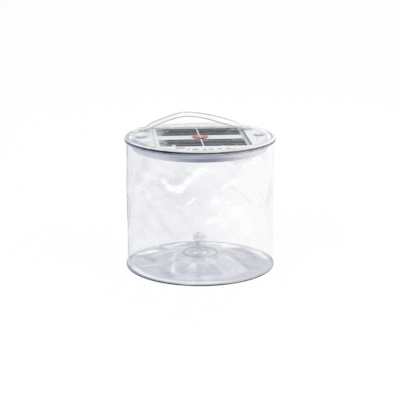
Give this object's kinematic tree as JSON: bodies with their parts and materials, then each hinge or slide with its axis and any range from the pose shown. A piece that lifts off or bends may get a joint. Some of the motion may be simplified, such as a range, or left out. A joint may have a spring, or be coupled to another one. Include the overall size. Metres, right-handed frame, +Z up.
{
  "type": "inflatable solar lantern",
  "caption": "Clear inflatable cylinder lantern with a solar panel and push buttons on top, a flat strap handle and an air valve in its base.",
  "frame": {"origin": "middle of the ring the lantern stands on, at table height", "axes": "+Z up, X along the solar panel's rows of cells, +Y towards the strap"},
  "size_m": [0.127, 0.127, 0.1265],
  "materials": {
    "clear_film": "clear glossy film",
    "clear_bead": "clear glossy weld bead",
    "clear_strap": "clear glossy strap",
    "clear_valve": "clear soft moulding",
    "head_white": "white moulding, satin",
    "clear_cover": "clear ridged moulding",
    "panel_board": "pale satin board",
    "cells": "dark smooth cells",
    "strips": "tinned metal",
    "panel_cover": "clear glossy cover",
    "red": "red gloss",
    "circuit": "white solder mask",
    "emitter": "pale yellow lens",
    "battery": "silver foil",
    "foam": "dark foam",
    "leads": "insulated wire",
    "screws": "plated steel",
    "buttons": "soft frosted moulding",
    "switch": "black moulding",
    "light_pipe": "clear light pipe"
  },
  "bodies": {
    "base": {"base_weld_bead": "clear_bead", "bottom_film": "clear_film", "wall_sleeve": "clear_film", "valve_flange": "clear_valve"},
    "head": {"top_film": "clear_film", "top_weld_bead": "clear_bead", "strap_weld_tab_left": "clear_strap", "strap_weld_tab_right": "clear_strap", "head_upper_shell": "head_white", "head_bottom_cover": "clear_cover", "solar_board": "panel_board", "solar_cells": "cells", "solar_contact_strips": "strips", "solar_cover": "panel_cover", "red_disc": "red", "circuit_board": "circuit", "light_emitters": "emitter", "battery_cell": "battery", "battery_foam_pad": "foam", "battery_leads": "leads", "solar_leads": "leads", "housing_screws": "screws", "switch_bodies": "switch", "charge_light_chips": "emitter", "charge_light_pipes": "light_pipe"},
    "strap": {"handle_strap": "clear_strap"},
    "power_key": {"power_button": "buttons", "power_switch_plunger": "switch"},
    "level_key": {"level_button": "buttons", "level_switch_plunger": "switch"},
    "valve": {"valve_stem": "clear_valve", "valve_cap_tether": "clear_valve"},
    "cap": {"valve_cap": "clear_valve"},
    "flap": {"valve_flap": "clear_valve"}
  },
  "joints": [
    {"name": "collapse", "type": "slide", "parent": "base", "child": "head", "axis": [0, 0, -1], "range_m": [0, 0.073], "deforming": ["wall_sleeve"]},
    {"name": "strap_swing", "type": "hinge", "parent": "head", "child": "strap", "pos_m": [0, 0.0277, 0.1132], "axis": [1, 0, 0], "range_deg": [-54, 36]},
    {"name": "power_press", "type": "slide", "parent": "head", "child": "power_key", "axis": [0, 0, -1], "range_m": [0, 0.0005], "stiffness_N_per_m": 1200},
    {"name": "level_press", "type": "slide", "parent": "head", "child": "level_key", "axis": [0, 0, -1], "range_m": [0, 0.0005], "stiffness_N_per_m": 1200},
    {"name": "valve_pull", "type": "slide", "parent": "base", "child": "valve", "axis": [0, 0, -1], "range_m": [0, 0.008]},
    {"name": "cap_open", "type": "hinge", "parent": "valve", "child": "cap", "pos_m": [0.0081, 0, 0.0012], "axis": [0, -1, 0], "range_deg": [0, 110]},
    {"name": "flap_lift", "type": "hinge", "parent": "valve", "child": "flap", "pos_m": [0.0039, 0, 0.0228], "axis": [0, 1, 0], "range_deg": [0, 30]}
  ]
}
